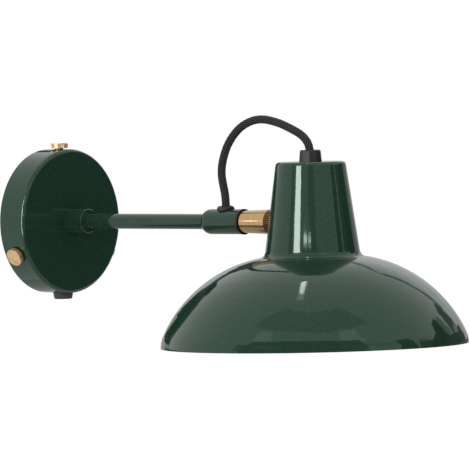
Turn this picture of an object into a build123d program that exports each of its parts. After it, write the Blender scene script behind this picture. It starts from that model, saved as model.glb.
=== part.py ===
"""Wall light: a round wall cup, a straight arm, a swivel and a spun bowl shade.

The origin is the centre of the cup's back on the wall. The wall is the plane Y = 0,
the arm runs out along -Y and +Z is up. Sizes are in millimetres.
"""
from build123d import *
from math import atan2, cos, degrees, radians, sin, sqrt, tan
import os

os.makedirs("parts", exist_ok=True)

# ---------------------------------------------------------------- driving dimensions
# Clearances
thread_gap = 0.05        # radial, a screw in its thread
slip_gap = 0.10          # radial, a tube or pin in its socket
pivot_gap = 0.05         # radial, the swivel on its stud
face_gap = 0.05          # between faces that turn against each other

# Wall cup
cup_radius = 60.0
cup_depth = 26.0
cup_wall = 1.2
cup_edge_fillet = 3.0

# Bracket on the wall
bracket_plate = 1.5
bracket_disc_radius = 38.0
bracket_cable_hole = 9.0
bracket_leg_width = 16.0
bracket_rim_gap = 0.4    # corners of the tabs to the inside of the cup
bracket_tab_height = 20.0
slot_spacing = 50.0
slot_length = 12.0
slot_radius = 2.25

# Thumb screws round the cup
screw_angles = (90.0, 206.0, 334.0)
screw_out = 13.0
screw_radius = 2.0
screw_length = 9.0
screw_collar_radius = 3.6
screw_collar_height = 1.0
screw_head_radius = 7.65
screw_head_height = 3.8
screw_head_bevel = 0.45
screw_knurls = 36
screw_knurl_depth = 0.35

# Cable entry plug at six o'clock
plug_out = 14.0
plug_hole_radius = 6.2
plug_base_radius = 8.35
plug_tip_radius = 7.4
plug_height = 5.0
plug_edge_fillet = 1.2
plug_flange_radius = 7.8
plug_flange = 3.2
plug_dimple_radius = 4.5
plug_dimple_depth = 1.5

# Hub that carries the arm on the cup
nipple_radius = 5.0
nipple_bore = 3.9
nipple_tail = 6.8        # how far the nipple reaches back into the cup
hub_radius = 10.2
hub_length = 19.0
hub_seat = 7.0           # face of the cup to the floor of the arm's socket
hub_lip_radius = 7.6
hub_lip = 1.2
hub_chamfer = 0.6
hub_washer = 0.8
hub_washer_radius = 8.8
hub_washer_teeth = 12
washer_notch = 0.8
hub_nut_radius = 8.1
hub_nut_height = 3.0

# Arm and its end connector
arm_reach = 290.0        # wall to the axis of the shade
arm_radius = 6.25
arm_wall = 1.0
connector_radius = 10.3
connector_length = 40.0
connector_shoulder = 6.6
connector_socket = 8.0
connector_bore = 4.6
connector_cavity = 25.6  # back of the connector to the end of the cord's bore
cord_hole_out = 21.7     # back of the connector to the cord's hole

# Flex
flex_radius = 3.4
flex_tail = 3.0          # flex that stands out of the nipple inside the cup
elbow_radius = 7.0
loop_start = 10.0        # height where the free loop leaves the elbow
loop_above_grip = 2.5    # last corner of the loop above the grip
loop_into_grip = 8.0     # the loop ends this deep inside the grip
loop_arc_share = 0.45    # of the shorter run beside a corner, taken by its arc
core_radius = 1.1
core_offset = 1.7
lead_straight = 2.0
lead_bend = 1.3          # centre line, where the leads spread in the lampholder
core_bend = 2.2          # centre line, where the leads turn in the cup
core_off_plate = 2.2     # middle of a lead to the bracket's plate

# Cord grommet on the connector
grommet_radius = 7.5
grommet_top = 14.0
grommet_edge_fillet = 1.5
grommet_foot = 6.0

# Swivel
swivel_length = 37.2     # friction washer to the wall of the neck
washer_height = 1.8
washer_radius = 10.5
barrel_length = 28.4
barrel_radius = 9.2
barrel_end_radius = 10.1
barrel_bevel = 0.3
knurl_ring_knurls = 40
knurl_ring_depth = 0.3
knurl_ring_groove = 0.5
stud_radius = 3.0
stud_depth = 10.0
stud_tail = 1.0
saddle_radius = 9.0
saddle_height = 2.6      # inside wall of the neck to the flat of the saddle
wave_washer_height = 1.0
wave_washer_radius = 6.2
flat_washer_height = 1.0
flat_washer_radius = 6.8
lock_nut_radius = 5.8
lock_nut_height = 4.8

# Shade, with heights from the arm's axis
shade_wall = 1.0
neck_top = 49.0
neck_top_radius = 28.3
neck_base_radius = 39.0
neck_edge_fillet = 3.0
neck_base_fillet = 6.0
rim_radius = 125.0
rim_drop = 100.0
rim_arc = 24.0
crown_arc = 109.0
rim_arc_turn = 24.9      # degrees of the rim's arc before the crown's arc takes over
hem_height = 2.6
hem_width = 2.2

# Cord grip on top of the neck
grip_radius = 9.5
grip_height = 9.5
grip_sides = 10
grip_taper = 5.0
grip_edge = 0.8
grip_thread = 7.0
grip_mouth = 1.4
clamp_height = 2.0
head_nipple_up = 5.0
head_nipple_down = 9.5

# Lampholder
holder_washer = 0.8
holder_washer_radius = 8.6
holder_radius = 20.0
holder_top_radius = 9.5
holder_cap_height = 22.2
holder_shoulder = 10.0
holder_wall = 2.3
holder_spigot = 5.0
holder_skirt_height = 39.0
holder_lip = 3.0
holder_mouth = 14.4
holder_edge_fillet = 1.1
insert_height = 7.0
insert_edge_fillet = 0.6
shell_radius = 13.25     # inside of the E27 shell
shell_wall = 0.6
shell_length = 22.5
holder_terminal = 5.0
terminal_x = 7.0
contact_recess_radius = 9.0
contact_recess = 4.5
contact_reach = 8.0
contact_drop = 3.2
contact_strip = 0.6
contact_width = 6.0

# Terminal block on the bracket
block_width = 26.0
block_depth = 12.0
block_height = 9.0
block_drop = 27.0        # arm axis down to the middle of the block
lead_turn_z = -10.5      # corner of the leads above the block
block_poles = 3
tower_radius = 3.2
tower_height = 3.5
wire_hole_radius = 1.5
terminal_screw_radius = 1.8
terminal_recess = 0.6
screw_slot = 0.7
earth_x = -18.0
earth_z = 20.0
earth_turn_x = -6.0      # corner of the earth lead beside the nipple
earth_turn_z = 10.0
earth_crimp = 1.0        # end of the earth lead below the middle of its ring
earth_screw_radius = 2.0
earth_head_radius = 3.8
earth_head_height = 2.4
earth_head_fillet = 0.8
earth_ring_radius = 4.4
earth_ring_height = 0.9

# ---------------------------------------------------------------- derived places
wall = Plane.XZ          # its normal is -Y, out from the wall
arm_section = Plane(origin=(0, 0, 0), x_dir=(0, -1, 0), z_dir=(-1, 0, 0))
shade_origin = (0, -arm_reach, 0)
head = Plane(origin=shade_origin)
head_section = Plane(origin=shade_origin, x_dir=(1, 0, 0), z_dir=(0, -1, 0))
shade_axis = Axis(shade_origin, (0, 0, 1))

cup_inside = cup_radius - cup_wall
rim_centre_r = rim_radius - rim_arc
turn = radians(rim_arc_turn)
crown_centre_r = rim_centre_r - (crown_arc - rim_arc) * cos(turn)
crown_centre_z = -rim_drop - (crown_arc - rim_arc) * sin(turn)
neck_base = crown_centre_z + sqrt(crown_arc ** 2 - (neck_base_radius - crown_centre_r) ** 2)
neck_slope = (neck_base_radius - neck_top_radius) / (neck_top - neck_base)
neck_at_arm = neck_top_radius + neck_slope * neck_top
neck_wall_level = shade_wall * sqrt(1 + neck_slope ** 2)

neck_out = arm_reach - neck_at_arm
barrel_out = neck_out - swivel_length
washer_out = barrel_out - face_gap - washer_height
connector_out = washer_out - connector_length
cord_out = connector_out + cord_hole_out
socket_out = cup_depth + hub_seat
hub_out = cup_depth + hub_length
nipple_out = cup_depth - nipple_tail - cup_wall
flex_out = nipple_out - flex_tail
ring_out = barrel_out + barrel_length
saddle_flat = neck_out + neck_wall_level + saddle_height
nut_out = saddle_flat + wave_washer_height + flat_washer_height + 2 * face_gap
stud_end = nut_out + lock_nut_height + stud_tail

holder_top = neck_top - shade_wall - holder_washer
holder_split = holder_top - holder_cap_height
insert_top = holder_split - holder_spigot
insert_base = insert_top - insert_height
contact_seat = insert_base + contact_recess
shell_base = insert_base - shell_length
holder_base = holder_split - holder_skirt_height
head_flex_end = neck_top - head_nipple_down - shade_wall
grip_top = neck_top + grip_height


def rim_plane(angle, out):
    """Plane on the arm's axis whose normal points out to a clock angle of the cup."""
    away = (cos(radians(angle)), 0, sin(radians(angle)))
    return Plane(origin=(0, -out, 0), x_dir=(0, -1, 0), z_dir=away)


def arc_radii(points):
    """The largest even arc at each corner of a route, from its shorter run."""
    radii = []
    for before, corner, after in zip(points, points[1:], points[2:]):
        run_in = Vector(*corner) - Vector(*before)
        run_out = Vector(*after) - Vector(*corner)
        half_turn = radians(run_in.get_angle(run_out)) / 2
        radii.append(loop_arc_share * min(run_in.length, run_out.length) / tan(half_turn))
    return radii


# ---------------------------------------------------------------- wall cup
with BuildPart() as wall_cup:
    with BuildSketch(wall):
        Circle(cup_radius)
    extrude(amount=cup_depth)
    fillet(wall_cup.edges().sort_by(Axis.Y)[0], cup_edge_fillet)
    offset(amount=-cup_wall, openings=wall_cup.faces().sort_by(Axis.Y)[-1])
    with BuildSketch(wall.offset(cup_depth)):
        Circle(nipple_radius + slip_gap)
    extrude(amount=-cup_depth, mode=Mode.SUBTRACT)
    for angle in screw_angles:
        with BuildSketch(rim_plane(angle, screw_out)):
            Circle(screw_radius + slip_gap)
        extrude(amount=cup_radius, mode=Mode.SUBTRACT)
    with BuildSketch(rim_plane(270, plug_out)):
        Circle(plug_hole_radius)
    extrude(amount=cup_radius, mode=Mode.SUBTRACT)

# ---------------------------------------------------------------- wall bracket
tab_out = sqrt((cup_inside - bracket_rim_gap) ** 2 - (bracket_leg_width / 2) ** 2)
with BuildPart() as wall_bracket:
    with BuildSketch(wall):
        Circle(bracket_disc_radius)
        for angle in screw_angles:
            with Locations(Rot(0, 0, angle)):
                Rectangle(tab_out, bracket_leg_width, align=(Align.MIN, Align.CENTER))
        Circle(bracket_cable_hole, mode=Mode.SUBTRACT)
        with GridLocations(slot_spacing, 0, 2, 1):
            SlotOverall(slot_length, 2 * slot_radius, mode=Mode.SUBTRACT)
        with Locations((earth_x, earth_z)):
            Circle(earth_screw_radius + thread_gap, mode=Mode.SUBTRACT)
    extrude(amount=bracket_plate)
    for angle in screw_angles:
        with BuildSketch(rim_plane(angle, 0).offset(tab_out - bracket_plate)):
            Rectangle(bracket_tab_height, bracket_leg_width, align=(Align.MIN, Align.CENTER))
            with Locations((screw_out, 0)):
                Circle(screw_radius + thread_gap, mode=Mode.SUBTRACT)
        extrude(amount=bracket_plate)

# ---------------------------------------------------------------- thumb screws
with BuildPart() as thumb_screws:
    for angle in screw_angles:
        rim = rim_plane(angle, screw_out)
        with BuildSketch(rim.offset(cup_radius - screw_length)):
            Circle(screw_radius)
        extrude(amount=screw_length)
        with BuildSketch(rim.offset(cup_radius)):
            Circle(screw_collar_radius)
        extrude(amount=screw_collar_height)
        with BuildSketch(rim.offset(cup_radius + screw_collar_height)):
            Circle(screw_head_radius - screw_head_bevel)
        extrude(amount=screw_head_height)
        with BuildSketch(rim.offset(cup_radius + screw_collar_height + screw_head_bevel)):
            Circle(screw_head_radius)
            with PolarLocations(screw_head_radius, screw_knurls):
                RegularPolygon(screw_knurl_depth, 4, mode=Mode.SUBTRACT)
        extrude(amount=screw_head_height - 2 * screw_head_bevel)

# ---------------------------------------------------------------- cable entry plug
with BuildPart() as entry_plug:
    with BuildSketch(rim_plane(270, plug_out)):
        Circle(plug_base_radius)
    extrude(amount=cup_radius)
    with BuildSketch(rim_plane(270, plug_out).offset(cup_radius)):
        Circle(plug_base_radius)
    with BuildSketch(rim_plane(270, plug_out).offset(cup_radius + plug_height)):
        Circle(plug_tip_radius)
    loft()
    fillet(entry_plug.edges().sort_by(Axis.Z)[0], plug_edge_fillet)
    with BuildSketch(wall):
        Circle(cup_radius)
    extrude(amount=cup_depth, mode=Mode.SUBTRACT)
    with BuildSketch(rim_plane(270, plug_out).offset(cup_inside - plug_flange)):
        Circle(plug_hole_radius - slip_gap)
    extrude(amount=plug_flange + 2 * cup_wall)
    with BuildSketch(rim_plane(270, plug_out).offset(cup_radius + plug_height)):
        Circle(plug_dimple_radius)
    extrude(amount=-plug_dimple_depth, mode=Mode.SUBTRACT)

with BuildPart() as plug_flange_ring:
    with BuildSketch(rim_plane(270, plug_out).offset(cup_inside - plug_flange)):
        Circle(plug_flange_radius)
    extrude(amount=plug_flange)
    with BuildSketch(wall):
        Circle(cup_inside)
    extrude(amount=cup_depth, mode=Mode.INTERSECT)

with BuildPart() as cable_entry_plug:
    add(entry_plug.part)
    add(plug_flange_ring.part)

# ---------------------------------------------------------------- hub
with BuildPart() as hub_nipple:
    with BuildSketch(wall.offset(nipple_out)):
        Circle(nipple_radius)
        Circle(nipple_bore, mode=Mode.SUBTRACT)
    extrude(amount=socket_out - nipple_out)

with BuildPart() as hub_lock_washer:
    with BuildSketch(wall.offset(cup_depth - cup_wall - hub_washer)):
        Circle(hub_washer_radius)
        Circle(nipple_radius + slip_gap, mode=Mode.SUBTRACT)
        with PolarLocations(hub_washer_radius, hub_washer_teeth):
            RegularPolygon(washer_notch, 3, mode=Mode.SUBTRACT)
    extrude(amount=hub_washer)

with BuildPart() as hub_nut:
    with BuildSketch(wall.offset(cup_depth - cup_wall - hub_washer - hub_nut_height)):
        RegularPolygon(hub_nut_radius, 6)
        Circle(nipple_radius + thread_gap, mode=Mode.SUBTRACT)
    extrude(amount=hub_nut_height)

with BuildPart() as hub_collar:
    with BuildSketch(wall.offset(cup_depth)):
        Circle(hub_radius)
    extrude(amount=hub_length)
    chamfer(hub_collar.edges().sort_by(Axis.Y)[0], hub_chamfer)
    with BuildSketch(wall.offset(hub_out)):
        Circle(hub_lip_radius)
    extrude(amount=hub_lip)
    with BuildSketch(wall.offset(cup_depth)):
        Circle(nipple_radius + thread_gap)
    extrude(amount=hub_seat, mode=Mode.SUBTRACT)
    with BuildSketch(wall.offset(socket_out)):
        Circle(arm_radius + slip_gap)
    extrude(amount=hub_length, mode=Mode.SUBTRACT)

# ---------------------------------------------------------------- arm
with BuildPart() as arm_tube:
    with BuildSketch(wall.offset(socket_out)):
        Circle(arm_radius)
        Circle(arm_radius - arm_wall, mode=Mode.SUBTRACT)
    extrude(amount=connector_out + connector_socket - socket_out)

with BuildPart() as end_connector:
    with BuildSketch(arm_section):
        with BuildLine():
            shoulder_foot = (connector_out, arm_radius + slip_gap)
            shoulder_top = (connector_out + connector_shoulder, connector_radius)
            EllipticalCenterArc(
                (shoulder_top[0], shoulder_foot[1]),
                connector_shoulder,
                connector_radius - shoulder_foot[1],
                start_angle=90,
                arc_size=90,
            )
            Polyline(
                shoulder_top,
                (washer_out, connector_radius),
                (washer_out, 0),
                (connector_out, 0),
                shoulder_foot,
            )
        make_face()
    revolve(axis=Axis.Y)
    with BuildSketch(wall.offset(connector_out)):
        Circle(arm_radius + slip_gap)
    extrude(amount=connector_socket, mode=Mode.SUBTRACT)
    with BuildSketch(wall.offset(connector_out)):
        Circle(connector_bore)
    extrude(amount=connector_cavity, mode=Mode.SUBTRACT)
    with BuildSketch(Plane.XY):
        with Locations((0, -cord_out)):
            Circle(connector_bore)
    extrude(amount=connector_radius, mode=Mode.SUBTRACT)
    with BuildSketch(wall.offset(washer_out)):
        Circle(stud_radius + thread_gap)
    extrude(amount=-stud_depth, mode=Mode.SUBTRACT)

# ---------------------------------------------------------------- flex held by the arm
with BuildPart() as arm_flex:
    with BuildLine(arm_section) as arm_flex_path:
        FilletPolyline(
            (flex_out, 0),
            (cord_out, 0),
            (cord_out, loop_start),
            radius=elbow_radius,
        )
    with BuildSketch(wall.offset(flex_out)):
        Circle(flex_radius)
    sweep(path=arm_flex_path.wire())

# ---------------------------------------------------------------- cord grommet
with BuildPart() as cord_grommet:
    with BuildSketch(Plane.XY):
        with Locations((0, -cord_out)):
            Circle(grommet_radius)
    extrude(amount=grommet_top)
    fillet(cord_grommet.edges().sort_by(Axis.Z)[-1], grommet_edge_fillet)
    with BuildSketch(wall.offset(connector_out)):
        Circle(connector_radius)
    extrude(amount=connector_length, mode=Mode.SUBTRACT)
    with BuildSketch(Plane.XY.offset(grommet_foot)):
        with Locations((0, -cord_out)):
            Circle(connector_bore - slip_gap)
    extrude(amount=grommet_top - grommet_foot - grommet_edge_fillet)
    with BuildSketch(Plane.XY):
        with Locations((0, -cord_out)):
            Circle(flex_radius + slip_gap)
    extrude(amount=grommet_top, mode=Mode.SUBTRACT)

# ---------------------------------------------------------------- shade
with BuildPart() as shade:
    with BuildSketch(head_section) as shade_profile:
        with BuildLine():
            rim_centre = (rim_centre_r, -rim_drop)
            crown_centre = (crown_centre_r, crown_centre_z)
            crown_start = degrees(atan2(neck_base - crown_centre_z, neck_base_radius - crown_centre_r))
            rim_line = CenterArc(rim_centre, rim_arc, 0, rim_arc_turn)
            crown_line = CenterArc(crown_centre, crown_arc, rim_arc_turn, crown_start - rim_arc_turn)
            Polyline(
                crown_line @ 1,
                (neck_top_radius, neck_top),
                (0, neck_top),
                (0, -rim_drop),
                rim_line @ 0,
            )
        make_face()
        fillet(shade_profile.vertices().sort_by_distance((neck_top_radius, neck_top))[0], neck_edge_fillet)
        fillet(shade_profile.vertices().sort_by_distance((neck_base_radius, neck_base))[0], neck_base_fillet)
    revolve(axis=shade_axis)
    offset(amount=-shade_wall, openings=shade.faces().sort_by(shade_axis)[0])
    with BuildSketch(head_section):
        with Locations((rim_radius - shade_wall, -rim_drop)):
            Rectangle(hem_width, hem_height, align=(Align.MAX, Align.MIN))
    revolve(axis=shade_axis)
    with BuildSketch(head.offset(neck_top)):
        Circle(nipple_radius + slip_gap)
    extrude(amount=-head_nipple_down, mode=Mode.SUBTRACT)
    with BuildSketch(wall.offset(washer_out)):
        Circle(stud_radius + slip_gap)
    extrude(amount=saddle_flat - washer_out, mode=Mode.SUBTRACT)

# The neck's outer and inner cones, which shape the pieces that seat against it
with BuildPart() as neck_cone:
    with BuildSketch(head_section):
        Polygon(
            (0, neck_base),
            (neck_base_radius, neck_base),
            (neck_top_radius, neck_top),
            (0, neck_top),
        )
    revolve(axis=shade_axis)

with BuildPart() as neck_hollow:
    with BuildSketch(head_section):
        Polygon(
            (0, neck_base),
            (neck_base_radius - neck_wall_level - face_gap, neck_base),
            (neck_top_radius - neck_wall_level - face_gap, neck_top),
            (0, neck_top),
        )
    revolve(axis=shade_axis)

# ---------------------------------------------------------------- swivel
with BuildPart() as friction_washer:
    with BuildSketch(wall.offset(washer_out)):
        Circle(washer_radius)
        Circle(stud_radius + thread_gap, mode=Mode.SUBTRACT)
    extrude(amount=washer_height)

with BuildPart() as swivel_barrel:
    with BuildSketch(arm_section):
        Polygon(
            (barrel_out, stud_radius + pivot_gap),
            (barrel_out, barrel_radius - barrel_bevel),
            (barrel_out + barrel_bevel, barrel_radius),
            (ring_out, barrel_end_radius),
            (ring_out, stud_radius + pivot_gap),
        )
    revolve(axis=Axis.Y)

with BuildPart() as knurled_ring:
    with BuildSketch(wall.offset(ring_out)):
        Circle(barrel_end_radius - knurl_ring_groove)
        Circle(stud_radius + slip_gap, mode=Mode.SUBTRACT)
    extrude(amount=knurl_ring_groove)
    with BuildSketch(wall.offset(ring_out + knurl_ring_groove)):
        Circle(barrel_end_radius)
        Circle(stud_radius + slip_gap, mode=Mode.SUBTRACT)
        with PolarLocations(barrel_end_radius, knurl_ring_knurls):
            RegularPolygon(knurl_ring_depth, 4, mode=Mode.SUBTRACT)
    extrude(amount=swivel_length)
    add(neck_cone.part, mode=Mode.SUBTRACT)

with BuildPart() as pivot_stud:
    with BuildSketch(wall.offset(washer_out - stud_depth)):
        Circle(stud_radius)
    extrude(amount=stud_end - washer_out + stud_depth)

with BuildPart() as inner_saddle:
    with BuildSketch(wall.offset(neck_out - shade_wall)):
        Circle(saddle_radius)
    extrude(amount=saddle_flat - neck_out + shade_wall)
    add(neck_hollow.part, mode=Mode.INTERSECT)
    with BuildSketch(wall.offset(neck_out - shade_wall)):
        Circle(stud_radius + slip_gap)
    extrude(amount=saddle_flat, mode=Mode.SUBTRACT)

with BuildPart() as wave_washer:
    with BuildSketch(wall.offset(saddle_flat + face_gap)):
        Circle(wave_washer_radius)
        Circle(stud_radius + thread_gap, mode=Mode.SUBTRACT)
    extrude(amount=wave_washer_height)

with BuildPart() as thrust_washer:
    with BuildSketch(wall.offset(saddle_flat + wave_washer_height + face_gap)):
        Circle(flat_washer_radius)
        Circle(stud_radius + thread_gap, mode=Mode.SUBTRACT)
    extrude(amount=flat_washer_height)

with BuildPart() as lock_nut:
    with BuildSketch(wall.offset(nut_out - face_gap)):
        RegularPolygon(lock_nut_radius, 6)
        Circle(stud_radius + thread_gap, mode=Mode.SUBTRACT)
    extrude(amount=lock_nut_height)

# ---------------------------------------------------------------- cord grip and nipple
with BuildPart() as cord_grip:
    with BuildSketch(head.offset(neck_top)):
        RegularPolygon(grip_radius, grip_sides)
    extrude(amount=grip_height, taper=grip_taper)
    chamfer(cord_grip.edges().group_by(shade_axis)[-1], grip_edge)
    with BuildSketch(head.offset(neck_top)):
        Circle(nipple_radius + thread_gap)
    extrude(amount=grip_thread, mode=Mode.SUBTRACT)
    with BuildSketch(head.offset(neck_top)):
        Circle(flex_radius + slip_gap)
    extrude(amount=grip_height, mode=Mode.SUBTRACT)
    mouth = cord_grip.edges().filter_by(GeomType.CIRCLE).sort_by(shade_axis)[-1]
    chamfer(mouth, grip_mouth)

with BuildPart() as cord_clamp:
    with BuildSketch(head.offset(neck_top + head_nipple_up)):
        Circle(nipple_radius)
        Circle(flex_radius + thread_gap, mode=Mode.SUBTRACT)
    extrude(amount=clamp_height)

with BuildPart() as head_nipple:
    with BuildSketch(head.offset(neck_top - head_nipple_down)):
        Circle(nipple_radius)
        Circle(nipple_bore, mode=Mode.SUBTRACT)
    extrude(amount=head_nipple_down + head_nipple_up)

# ---------------------------------------------------------------- free loop of the flex
# Points of the route as (y, z) in the plane X = 0, from the elbow round to the grip.
grip_entry = grip_top - loop_into_grip
loop_route = [
    (-cord_out, loop_start),
    (-cord_out, 20.5),
    (-arm_reach + 94.8, 29.5),
    (-arm_reach + 96.9, 40.5),
    (-arm_reach + 94.1, 53.0),
    (-arm_reach + 87.4, 66.0),
    (-arm_reach + 74.1, 78.5),
    (-arm_reach + 55.3, 84.5),
    (-arm_reach + 35.5, 81.5),
    (-arm_reach + 17.9, 75.0),
    (-arm_reach + 6.7, 69.5),
    (-arm_reach, grip_top + loop_above_grip),
    (-arm_reach, grip_entry),
]
loop_radii = arc_radii([(0, y, z) for y, z in loop_route])
with BuildPart() as flex_loop:
    with BuildLine(Plane.YZ) as loop_path:
        FilletPolyline(*loop_route, radius=loop_radii)
    with BuildSketch(Plane.XY.offset(loop_start)):
        with Locations((0, -cord_out)):
            Circle(flex_radius)
    sweep(path=loop_path.wire())
loop_length = loop_path.wire().length
tube_volume = loop_length * Circle(flex_radius).area
print("loop length", round(loop_length, 1), "radii", [round(r, 1) for r in loop_radii])
print("loop volume", round(flex_loop.part.volume), "of", round(tube_volume))

# ---------------------------------------------------------------- lampholder
with BuildPart() as holder_lock_washer:
    with BuildSketch(head.offset(holder_top)):
        Circle(holder_washer_radius)
        Circle(nipple_radius + slip_gap, mode=Mode.SUBTRACT)
        with PolarLocations(holder_washer_radius, hub_washer_teeth):
            RegularPolygon(washer_notch, 3, mode=Mode.SUBTRACT)
    extrude(amount=holder_washer)

with BuildPart() as holder_cap:
    with BuildSketch(head_section):
        with BuildLine():
            Line((0, holder_top), (holder_top_radius, holder_top))
            Spline(
                (holder_top_radius, holder_top),
                (holder_radius, holder_split + holder_shoulder),
                tangents=((1, 0), (0, -1)),
            )
            Polyline(
                (holder_radius, holder_split + holder_shoulder),
                (holder_radius, holder_split),
                (holder_radius - holder_wall - slip_gap, holder_split),
                (holder_radius - holder_wall - slip_gap, insert_top),
                (0, insert_top),
                (0, holder_top),
            )
        make_face()
    revolve(axis=shade_axis)
    with BuildSketch(head_section):
        with BuildLine():
            hollow_radius = holder_radius - 2 * holder_wall
            hollow_top = holder_top - head_nipple_down
            Line((0, hollow_top), (holder_top_radius, hollow_top))
            Line((holder_top_radius, hollow_top), (hollow_radius, holder_split + holder_shoulder / 2))
            Line((hollow_radius, holder_split + holder_shoulder / 2), (hollow_radius, insert_top))
            Line((hollow_radius, insert_top), (0, insert_top))
            Line((0, insert_top), (0, hollow_top))
        make_face()
    revolve(axis=shade_axis, mode=Mode.SUBTRACT)
    with BuildSketch(head.offset(holder_top)):
        Circle(nipple_radius + thread_gap)
    extrude(amount=-holder_cap_height, mode=Mode.SUBTRACT)

with BuildPart() as holder_skirt:
    with BuildSketch(head.offset(holder_base)):
        Circle(holder_radius)
    extrude(amount=holder_skirt_height)
    fillet(holder_skirt.edges().sort_by(shade_axis)[0], holder_edge_fillet)
    with BuildSketch(head.offset(holder_base + holder_lip)):
        Circle(holder_radius - holder_wall)
    extrude(amount=holder_skirt_height, mode=Mode.SUBTRACT)
    with BuildSketch(head.offset(holder_base)):
        Circle(holder_mouth)
    extrude(amount=holder_lip, mode=Mode.SUBTRACT)

with BuildPart() as holder_insert:
    with BuildSketch(head.offset(insert_base)):
        Circle(holder_radius - holder_wall - slip_gap)
    extrude(amount=insert_height)
    fillet(holder_insert.edges().sort_by(shade_axis)[0], insert_edge_fillet)
    with BuildSketch(head.offset(insert_base)):
        Circle(contact_recess_radius)
    extrude(amount=contact_recess, mode=Mode.SUBTRACT)

with BuildPart() as lamp_thread_shell:
    with BuildSketch(head.offset(shell_base)):
        Circle(shell_radius + shell_wall)
        Circle(shell_radius, mode=Mode.SUBTRACT)
    extrude(amount=shell_length)

with BuildPart() as centre_contact:
    with BuildSketch(head_section):
        Polygon(
            (-contact_reach, contact_seat),
            (-contact_reach, contact_seat - contact_strip),
            (-contact_reach / 2, contact_seat - contact_strip),
            (contact_reach / 2, contact_seat - contact_drop - contact_strip),
            (contact_reach / 2, contact_seat - contact_drop),
            (-contact_reach / 2 + contact_strip, contact_seat),
        )
    extrude(amount=contact_width / 2, both=True)

with BuildPart() as holder_terminals:
    with BuildSketch(head.offset(insert_top)):
        with GridLocations(2 * terminal_x, 0, 2, 1):
            Rectangle(holder_terminal, holder_terminal)
    extrude(amount=holder_terminal)

with BuildPart() as head_flex:
    with BuildSketch(head.offset(head_flex_end)):
        Circle(flex_radius)
    extrude(amount=grip_entry - head_flex_end)

with BuildPart() as head_leads:
    for side in (-1, 1):
        lead_start = (side * core_offset, -arm_reach, head_flex_end)
        lead_end = (side * terminal_x, -arm_reach, insert_top + holder_terminal)
        with BuildLine() as lead_path:
            FilletPolyline(
                lead_start,
                (side * core_offset, -arm_reach, head_flex_end - lead_straight),
                (side * terminal_x, -arm_reach, insert_top + holder_terminal + lead_straight),
                lead_end,
                radius=lead_bend,
            )
        with BuildSketch(Plane(origin=lead_start, z_dir=(0, 0, -1))):
            Circle(core_radius)
        sweep(path=lead_path.wire())

# ---------------------------------------------------------------- terminal block and leads
block_top = bracket_plate + block_height
pole_pitch = block_width / block_poles
with BuildPart() as terminal_block:
    with BuildSketch(wall.offset(bracket_plate)):
        with Locations((0, -block_drop)):
            Rectangle(block_width, block_depth)
    extrude(amount=block_height)
    with BuildSketch(wall.offset(block_top)):
        with Locations((0, -block_drop)):
            with GridLocations(pole_pitch, 0, block_poles, 1):
                Circle(tower_radius)
    extrude(amount=tower_height)
    with BuildSketch(wall.offset(block_top)):
        with Locations((0, -block_drop)):
            with GridLocations(pole_pitch, 0, block_poles, 1):
                Circle(terminal_screw_radius + thread_gap)
    extrude(amount=tower_height, mode=Mode.SUBTRACT)
    with BuildSketch(Plane.XY.offset(-block_drop - block_depth)):
        with Locations((0, -bracket_plate - block_height / 2)):
            with GridLocations(pole_pitch, 0, block_poles, 1):
                Circle(wire_hole_radius)
    extrude(amount=2 * block_depth, mode=Mode.SUBTRACT)

with BuildPart() as terminal_screws:
    with BuildSketch(wall.offset(block_top)):
        with Locations((0, -block_drop)):
            with GridLocations(pole_pitch, 0, block_poles, 1):
                Circle(terminal_screw_radius)
    extrude(amount=tower_height - terminal_recess)
    with BuildSketch(wall.offset(block_top + tower_height - terminal_recess)):
        with Locations((0, -block_drop)):
            with GridLocations(pole_pitch, 0, block_poles, 1):
                Rectangle(2 * terminal_screw_radius, screw_slot, rotation=45)
    extrude(amount=-screw_slot, mode=Mode.SUBTRACT)

with BuildPart() as core_leads:
    for side in (-1, 1):
        hole_y = -bracket_plate - block_height / 2
        hole_top = -block_drop + block_depth / 2
        lead_start = (side * core_offset, -flex_out, 0)
        with BuildLine() as core_path:
            FilletPolyline(
                lead_start,
                (side * core_offset, hole_y, 0),
                (side * pole_pitch, hole_y, lead_turn_z),
                (side * pole_pitch, hole_y, hole_top - wire_hole_radius),
                radius=core_bend,
            )
        with BuildSketch(Plane(origin=lead_start, z_dir=(0, 1, 0))):
            Circle(core_radius)
        sweep(path=core_path.wire())

with BuildPart() as earth_lead:
    lead_start = (0, -flex_out, core_offset)
    with BuildLine() as earth_path:
        FilletPolyline(
            lead_start,
            (0, -flex_out + flex_tail, core_offset),
            (earth_turn_x, -bracket_plate - core_off_plate, earth_turn_z),
            (earth_x + earth_ring_radius, -bracket_plate - core_off_plate, earth_z - earth_crimp),
            radius=core_bend,
        )
    with BuildSketch(Plane(origin=lead_start, z_dir=(0, 1, 0))):
        Circle(core_radius)
    sweep(path=earth_path.wire())

with BuildPart() as earth_terminal_ring:
    with BuildSketch(wall.offset(bracket_plate)):
        with Locations((earth_x, earth_z)):
            Circle(earth_ring_radius)
            Circle(earth_screw_radius + thread_gap, mode=Mode.SUBTRACT)
    extrude(amount=earth_ring_height)

with BuildPart() as earth_screw:
    with BuildSketch(wall.offset(face_gap)):
        with Locations((earth_x, earth_z)):
            Circle(earth_screw_radius)
    extrude(amount=bracket_plate + earth_ring_height)
    with BuildSketch(wall.offset(bracket_plate + earth_ring_height)):
        with Locations((earth_x, earth_z)):
            Circle(earth_head_radius)
    extrude(amount=earth_head_height)
    fillet(earth_screw.edges().sort_by(Axis.Y)[0], earth_head_fillet)
    with BuildSketch(wall.offset(bracket_plate + earth_ring_height + earth_head_height)):
        with Locations((earth_x, earth_z)):
            Rectangle(2 * earth_head_radius, screw_slot)
            Rectangle(screw_slot, earth_head_radius)
    extrude(amount=-screw_slot, mode=Mode.SUBTRACT)

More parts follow.
